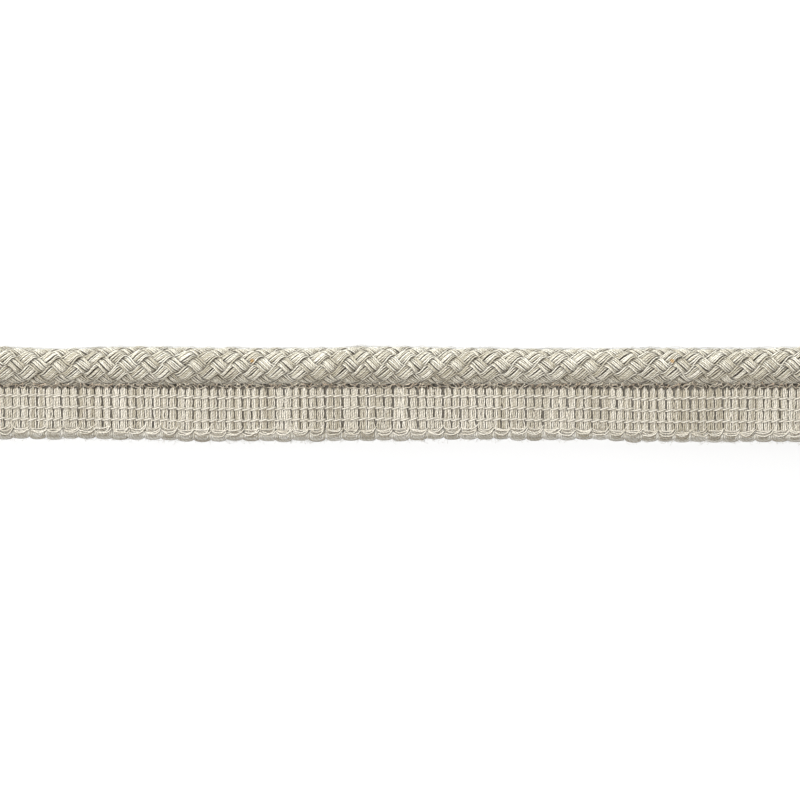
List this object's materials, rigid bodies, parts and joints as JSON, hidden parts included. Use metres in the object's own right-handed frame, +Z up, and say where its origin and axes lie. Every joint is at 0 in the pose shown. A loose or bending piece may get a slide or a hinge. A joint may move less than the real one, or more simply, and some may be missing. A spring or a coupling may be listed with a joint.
{
  "type": "braided lip cord",
  "caption": "Straight cut length of fat round braided cord with a narrow flat looped-edge tape along one side, for sewing into the seams of cushions and curtains",
  "frame": {"origin": "on the table, under the middle of the trimming's box", "axes": "+X along the cord, +Y from the tape's outer edge to the cord, +Z up from the table"},
  "size_m": [0.2, 0.0234, 0.0092],
  "materials": {
    "braid_yarn": "matte",
    "tape_yarn": "matte"
  },
  "bodies": {
    "root": {"braided_cord": "braid_yarn", "lip_tape": "tape_yarn"}
  },
  "joints": []
}
